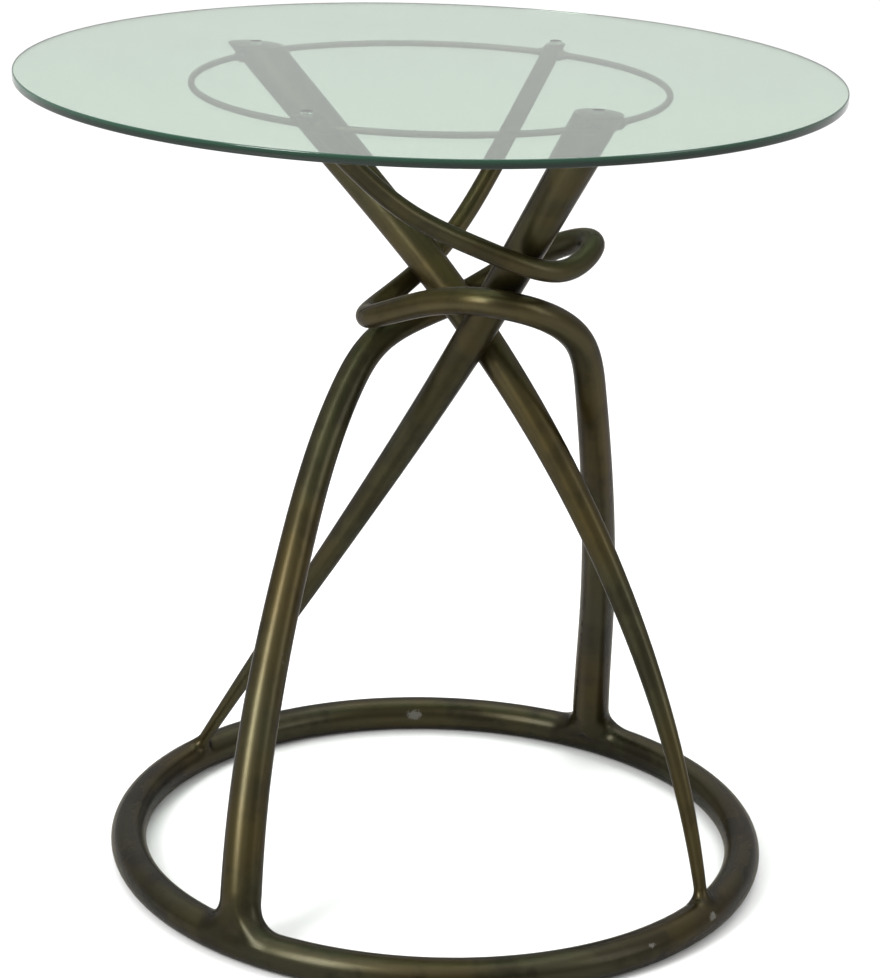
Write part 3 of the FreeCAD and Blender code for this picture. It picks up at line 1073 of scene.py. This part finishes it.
    def heat(self, points: np.ndarray) -> np.ndarray:
        """Finds how near points are to the middle of the weld.

        Args:
            points: Points in millimetres.

        Returns:
            One share for each point, from 0 to 1.
        """
        rod, tube, _ = self._joined(points)
        far = np.maximum(np.maximum(rod, tube), 0) / self.fillet
        return np.clip((1 - far) / self.heat_run, 0, 1)


@dataclass
class KnotBase:
    """Four tapered rods that loop round each other, and the weld beads between them.

    The rods go by the corners of their feet. Heights in the knot are on a scale where the crossing is 0,
    the rails are 1 and the floor ring is -1, and sideways places count from the knot in spreads.
    """

    floor: FloorRing
    rail_radius: float = 216.0
    knot_shift: float = 48.0
    knot_height: float = 218.0
    knot_spread: float = 100.0
    knot_gap: float = 2.4
    straight_diameters: tuple[float, ...] = (40.0, 33.0, 23.0, 11.0)
    straight_inset: float = 13.0
    knotted_diameters: tuple[float, ...] = (17.0, 19.0, 26.0, 38.5)
    knotted_shares: tuple[float, ...] = (0.0, 0.22, 0.42, 1.0)
    knotted_inset: float = 5.0
    foot_lift: float = 0.15
    thick_fillet: float = 24.0
    thin_fillet: float = 13.0
    crown_round_over: float = 0.8
    spacing: float = 4.5
    around: int = 44
    foot_rings: int = 48
    foot_fillets: float = 1.2
    settling_rounds: int = 12
    bead_radius: float = 3.2
    bead_waist: float = 0.62
    bead_sink: float = 0.5
    bead_rings: int = 13
    bead_around: int = 24
    crowns: dict[Corner, float] = field(
        default_factory=lambda: dict(zip(Corner, (58.0, 141.5, 244.0, 314.3))))
    feet: dict[Corner, float] = field(
        default_factory=lambda: dict(zip(Corner, (57.5, 146.8, 234.5, 326.7))))
    beads: dict[str, tuple[Corner, Corner]] = field(default_factory=lambda: {
        "crossing": (Corner.FRONT_RIGHT, Corner.REAR_LEFT),
        "upper_rear": (Corner.FRONT_RIGHT, Corner.REAR_RIGHT),
        "lower_rear": (Corner.FRONT_RIGHT, Corner.FRONT_LEFT),
        "lower_front": (Corner.REAR_LEFT, Corner.REAR_RIGHT),
        "upper_front": (Corner.REAR_LEFT, Corner.FRONT_LEFT)})
    crown_level: float = field(init=False)
    rail_level: float = field(init=False)
    kinds: dict[Corner, Leg] = field(init=False, default_factory=dict)
    rods: dict[Corner, Rod] = field(init=False, default_factory=dict)
    crown_radii: dict[Corner, float] = field(init=False, default_factory=dict)
    welds: dict[Corner, Foot] = field(init=False, default_factory=dict)

    def __post_init__(self) -> None:
        """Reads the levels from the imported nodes, and runs the four rods."""
        bumper_low, _ = node_box("glass_bumper_front_left")
        rail_low, rail_high = node_box("top_rail_front")
        self.crown_level = float(bumper_low[2])
        self.rail_level = float(rail_low[2] + rail_high[2]) / 2
        self._run(Leg.CROSSING, Corner.REAR_LEFT, Corner.FRONT_RIGHT, [
            self._spot(0, 0.21, -0.01),
            self._spot(1.59, -0.92, -0.52)])
        self._run(Leg.CROSSING, Corner.FRONT_RIGHT, Corner.REAR_LEFT, [
            self._pass(Corner.FRONT_RIGHT, -0.035, Side.IN_FRONT),
            self._spot(-1.78, 1.12, -0.655)])
        self._run(Leg.LOOPED, Corner.REAR_RIGHT, Corner.REAR_RIGHT, [
            self._spot(0.1, 1.25, 0.55),
            self._pass(Corner.FRONT_RIGHT, 0.235, Side.BEHIND),
            self._spot(-1.01, 0.05, 0.03),
            self._spot(-0.43, -0.52, 0.165),
            self._pass(Corner.REAR_LEFT, 0.275, Side.IN_FRONT),
            self._spot(0.94, -0.42, 0.01),
            self._spot(1.085, -0.15, -0.1),
            self._spot(1.345, 1.65, -0.68)])
        self._run(Leg.LOOPED, Corner.FRONT_LEFT, Corner.FRONT_LEFT, [
            self._spot(-0.62, -1.43, 0.64),
            self._spot(0.02, -1.17, 0.475),
            self._pass(Corner.REAR_LEFT, 0.46, Side.IN_FRONT),
            self._spot(0.82, -0.78, 0.36),
            self._spot(1.03, -0.4, 0.415),
            self._spot(0.4, 0.4, 0.245),
            self._pass(Corner.FRONT_RIGHT, 0.095, Side.BEHIND),
            self._spot(-0.92, 0.4, -0.053),
            self._spot(-1.19, 0.15, -0.132),
            self._spot(-1.6, -0.75, -0.384),
            self._spot(-1.92, -1.95, -0.764)])

    def _level(self, height: float) -> float:
        """Level for a height on the scale of the knot."""
        crossing = self.rail_level - self.knot_height
        return crossing + height * (self.knot_height if height > 0 else crossing - self.floor.centre[2])

    def _spot(self, right: float, back: float, height: float) -> np.ndarray:
        """Fixed waypoint, to the right of the knot, behind it and at a height."""
        across = self.knot_spread * (right * RIGHT + back * BACK)
        return across + self.knot_shift * RIGHT + self._level(height) * UP

    def _pass(self, foot: Corner, height: float, side: Side) -> Passing:
        """Waypoint that passes another rod at a height."""
        return Passing(self.rods[foot], self._level(height), side)

    def _run(self, kind: Leg, crown: Corner, foot: Corner, waypoints: list[Waypoint]) -> None:
        """Runs a rod through its waypoints until its passings have settled, and sets its foot on the ring.

        Args:
            kind: Kind of leg: a crossing one is thick at its crown, a looped one at its foot.
            crown: Corner where the rod starts.
            foot: Corner where it ends.
            waypoints: Fixed points and passings between them.
        """
        crossing = kind is Leg.CROSSING
        thick = self.straight_diameters if crossing else self.knotted_diameters
        reach = self.rail_radius - (self.straight_inset if crossing else self.knotted_inset)
        turn = math.radians(self.crowns[crown])
        at_ring = np.array([reach * math.cos(turn), reach * math.sin(turn), self.rail_level])
        end = self.floor.spot(self.feet[foot]) + UP * self.floor.tube * self.foot_lift
        for _ in range(self.settling_rounds):
            points = [way.point if isinstance(way, Passing) else way for way in waypoints]
            upward = at_ring - points[0]
            rise = self.crown_level - self.rail_level + thick[0] / 2
            line = SmoothLine([at_ring + upward * (rise / upward[2]), at_ring, *points, end])
            at_knot = line.share_at(points[0][2])
            shares = (0.0, at_knot, (1 + at_knot) / 2, 1.0) if crossing else self.knotted_shares
            rod = Rod(line, shares, thick)
            for way in waypoints:
                if isinstance(way, Passing):
                    way.settle(rod, self.knot_gap)
        self.kinds[foot], self.rods[foot], self.crown_radii[crown] = kind, rod, thick[0] / 2
        fillet = self.thin_fillet if crossing else self.thick_fillet
        self.welds[foot] = Foot(rod, self.floor, self.feet[foot], fillet)

    def _leg(self, foot: Corner, bronze: Material) -> Piece:
        """Builds one leg: a swept rod with a flat crown and a foot that runs into the floor tube.

        Args:
            foot: Corner of the leg's foot.
            bronze: Material.

        Returns:
            The leg.
        """
        kind, line, weld = self.kinds[foot], self.rods[foot].line, self.welds[foot]
        low = 1 - (self.floor.tube + self.foot_fillets * weld.fillet) / line.length
        above = np.linspace(low, 0, round(line.length / self.spacing))[1:]
        shares = np.concatenate([np.linspace(1, low, self.foot_rings), above])
        turn, across = full_turn(self.around), weld.side
        rings, welded = [], []
        for share in shares:
            along, centre = line.direction(share), line.point(share)
            across = square_to(across, along)
            spokes = spokes_of(turn, across, np.cross(along, across))
            wide, deep = weld.half_widths(share)
            points = centre + spokes / np.hypot(np.cos(turn) / wide, np.sin(turn) / deep)[:, None]
            heat = np.zeros(self.around)
            if share >= low:
                points = points + weld.way_out(points, spokes, of_rod=True)[:, None] * spokes
                heat = weld.heat(points)
            rings.append(points)
            welded.append(heat)
        skin = Skin(f"{kind.name.lower()}_leg_{foot.value}")
        skin.tube(rings, (1 - shares) * line.length * MM, welded=welded)
        skin.level_off(self.crown_level, self.crown_round_over)
        return skin.finish(Body.BASE, Slot.BRONZE, [bronze], f"{kind.value}_leg_{foot.value}")

    def _bead(self, name: str, bronze: Material) -> Piece:
        """Builds a hollow-sided weld bead where two rods come closest.

        Args:
            name: Name of the bead's place in the knot.
            bronze: Material.

        Returns:
            The bead.
        """
        one, other = (self.rods[foot] for foot in self.beads[name])
        mine, its, distance = one.nearest(other)
        start = one.line.point(mine)
        along = unit(other.line.point(its) - start)
        across = square_to(one.line.direction(mine), along)
        low, high = one.radius(mine) - self.bead_sink, distance - other.radius(its) + self.bead_sink
        spokes = spokes_of(full_turn(self.bead_around), across, np.cross(along, across))
        heights = np.linspace(-1, 1, self.bead_rings)
        rings = []
        for height in heights:
            radius = self.bead_radius * (self.bead_waist + (1 - self.bead_waist) * height ** 2)
            rings.append(start + along * (low + (high - low) * (height + 1) / 2) + radius * spokes)
        skin = Skin(f"bead_{name}")
        skin.tube(rings, heights * (high - low) / 2 * MM)
        return skin.finish(Body.BASE, Slot.BRONZE, [bronze], f"knot_weld_{name}")

    def build(self, bronze: Material, weld: Material) -> list[Piece]:
        """Builds the legs and the beads and dresses them."""
        legs = [self._leg(foot, bronze) for foot in self.rods]
        return legs + [self._bead(name, weld) for name in self.beads]


@dataclass
class RailRing:
    """Thin bent rails between the crowns, swelling where they are welded on."""

    base: KnotBase
    sides: tuple[str, ...] = ("rear", "left", "front", "right")
    thickness: float = 6.0
    swelling: float = 12.5
    weld_length: float = 12.0
    around: int = 24
    end_length: float = 40.0
    end_rings: int = 21
    middle_rings: int = 40

    def _rail(self, side: str, start: Corner, end: Corner, bronze: Material) -> Piece:
        """Builds one rail.

        Args:
            side: Side of the table that it is on.
            start: Crown where the rail starts.
            end: Crown where it ends, further round.
            bronze: Material.

        Returns:
            The rail.
        """
        base, turn = self.base, full_turn(self.around)
        run = math.radians((base.crowns[end] - base.crowns[start]) % 360) * base.rail_radius
        stops = np.concatenate([
            np.linspace(0, self.end_length, self.end_rings),
            np.linspace(self.end_length, run - self.end_length, self.middle_rings)[1:-1],
            np.linspace(run - self.end_length, run, self.end_rings)])
        rings = []
        for stop in stops:
            angle = math.radians(base.crowns[start]) + stop / base.rail_radius
            outward = math.cos(angle) * RIGHT + math.sin(angle) * BACK
            bare = min(stop - base.crown_radii[start], run - stop - base.crown_radii[end])
            swell = np.clip(1 - bare / self.weld_length, 0, 1) ** 2
            radius = (self.thickness + (self.swelling - self.thickness) * swell) / 2
            centre = base.rail_radius * outward + base.rail_level * UP
            rings.append(centre + radius * spokes_of(turn, outward, UP))
        skin = Skin(f"rail_{side}")
        skin.tube(rings, stops * MM)
        return skin.finish(Body.BASE, Slot.BRONZE, [bronze], f"top_rail_{side}")

    def build(self, bronze: Material) -> list[Piece]:
        """Builds the four rails, each from one corner to the next, and dresses them."""
        starts = list(Corner)
        return [self._rail(*rail, bronze) for rail in zip(self.sides, starts, starts[1:] + starts[:1])]


@dataclass
class BumperSet:
    """Clear soft discs on the crowns that the glass lies on."""

    round_over: float = 0.9
    around: int = 40

    def _bumper(self, corner: Corner, clear: Material) -> Piece:
        """Builds the disc on the crown at a corner."""
        disc = Disc(f"glass_bumper_{corner.value}", self.round_over, self.around)
        return disc.skin(f"bumper_disc_{corner.value}").finish(Body.BASE, Slot.BUMPER, [clear], disc.node)

    def build(self, clear: Material) -> list[Piece]:
        """Builds the discs and dresses them."""
        return [self._bumper(corner, clear) for corner in Corner]


@dataclass
class GlassTop:
    """Loose glass disc with a ground rim."""

    node: str = "glass_top"
    arris: float = 1.2
    around: int = 320
    crease: float = 60.0

    def build(self, glass: Material, edge: Material) -> list[Piece]:
        """Builds the disc and dresses its faces and its rim.

        Args:
            glass: Material of the two faces.
            edge: Material of the rim.

        Returns:
            The disc.
        """
        skin = Disc(self.node, self.arris, self.around).skin("glass_disc")
        for face in skin.mesh.faces:
            face.material_index = 0 if len(face.verts) > 4 else 1
        return [skin.finish(Body.GLASS, Slot.GLASS, [glass, edge], self.node, self.crease)]


# Studio

@dataclass(frozen=True)
class SoftBox:
    """Soft light that hangs at a place and faces a point; lengths in metres, power in watts."""

    name: str
    place: Triple
    aim: Triple
    spread: tuple[float, float]
    power: float


@dataclass
class Studio:
    """Plain pale floor, soft lights and a camera at the photograph's view; lengths in metres."""

    floor_reach: float = 30.0
    floor_cells: int = 12
    soft_boxes: tuple[SoftBox, ...] = (
        SoftBox("key_box", (-1.9, -2.2, 2.1), (0.0, 0.0, 0.45), (1.0, 2.0), 150.0),
        SoftBox("fill_box", (2.6, -1.2, 1.5), (0.0, 0.0, 0.4), (1.0, 1.8), 26.0),
        SoftBox("top_box", (0.0, 0.6, 3.4), (0.0, 0.0, 0.0), (3.0, 3.0), 60.0))
    air: tuple[float, float] = (0.50, 0.77)
    overhead: float = 1.95
    camera_place: Triple = (0.026, -2.64917, 1.2601)
    yaw: float = -0.135
    pitch: float = 18.526
    roll: float = 1.815
    lens_in_pixels: float = 2957.28
    image_height: int = 978
    sensor: float = 36.0

    def _floor(self, pale: Material) -> None:
        """Lays the floor.

        Args:
            pale: Material.
        """
        mesh = bmesh.new()
        bmesh.ops.create_grid(mesh, x_segments=self.floor_cells, y_segments=self.floor_cells,
                              size=self.floor_reach)
        data = bpy.data.meshes.new("studio_floor")
        mesh.to_mesh(data)
        mesh.free()
        data.materials.append(pale)
        piece = bpy.data.objects.new("studio_floor", data)
        bpy.context.scene.collection.objects.link(piece)

    @staticmethod
    def _set_up(piece: Piece, right: np.ndarray, up: np.ndarray, back: np.ndarray, place: Triple) -> None:
        """Puts a camera or a light in the scene, by its axes and its place."""
        piece.matrix_world = Matrix([*zip(right, up, back, place), (0, 0, 0, 1)])
        bpy.context.scene.collection.objects.link(piece)

    def _hang(self, box: SoftBox) -> None:
        """Hangs a soft light.

        Args:
            box: The light.
        """
        light = bpy.data.lights.new(box.name, "AREA")
        light.shape = "RECTANGLE"
        light.size, light.size_y = box.spread
        light.energy = box.power
        back = unit(np.array(box.place) - np.array(box.aim))
        side = unit(np.cross(UP, back))
        self._set_up(bpy.data.objects.new(box.name, light), side, np.cross(back, side), back, box.place)

    def _surroundings(self) -> None:
        """Sets the surrounding light, brighter behind the table and brightest overhead."""
        world = bpy.data.worlds.new("studio_air")
        world.use_nodes = True
        bench = NodeBench(world.node_tree)
        split = bench.fill(bench.add("SeparateXYZ"), {0: bench.add("TexCoord").outputs["Generated"]})
        overhead = bench.math("MULTIPLY", bench.math("POWER", split.outputs["Z"], 2.0), self.overhead)
        around = bench.ramp(split.outputs["Y"], -0.6, 0.9, *self.air)
        bench.fill(world.node_tree.nodes["Background"], {
            "Color": (1.0, 1.0, 1.0), "Strength": bench.math("ADD", around, overhead)})
        bpy.context.scene.world = world

    def _camera(self) -> None:
        """Sets the camera up."""
        yaw, pitch, roll = np.radians((self.yaw, self.pitch, self.roll))
        level = math.cos(yaw) * RIGHT - math.sin(yaw) * BACK
        ahead = math.cos(pitch) * np.cross(UP, level) - math.sin(pitch) * UP
        right, up = spokes_of(roll + np.array([0.0, math.pi / 2]), level, np.cross(level, ahead))
        data = bpy.data.cameras.new("photo_view")
        data.sensor_width = self.sensor
        data.lens = self.lens_in_pixels * self.sensor / self.image_height
        piece = bpy.data.objects.new("photo_view", data)
        self._set_up(piece, right, up, -ahead, self.camera_place)
        bpy.context.scene.camera = piece

    def build(self) -> None:
        """Builds the floor, the lights and the camera."""
        self._floor(PALE_FLOOR.material())
        for box in self.soft_boxes:
            self._hang(box)
        self._surroundings()
        self._camera()
        bpy.context.scene.view_settings.view_transform = "Standard"


def main() -> None:
    """Builds the sub-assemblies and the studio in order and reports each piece."""
    logging.basicConfig(level=logging.INFO, format="%(message)s", force=True)
    groups = ShaderGroups()
    floor_ring = FloorRing()
    base = KnotBase(floor_ring)
    pieces = [
        *floor_ring.build(RING_BRONZE.material(groups), list(base.welds.values())),
        *base.build(ROD_BRONZE.material(groups), WELD_BRONZE.material(groups)),
        *RailRing(base).build(RAIL_BRONZE.material(groups)),
        *BumperSet().build(CLEAR_PLASTIC.material(groups)),
        *GlassTop().build(PALE_GLASS.material(groups), GLASS_RIM.material(groups))]
    for piece in pieces:
        LOG.info("%s: %d faces of %s", piece.name, len(piece.data.polygons), piece.data.materials[0].name)
    Studio().build()


if __name__ == "__main__":
    main()
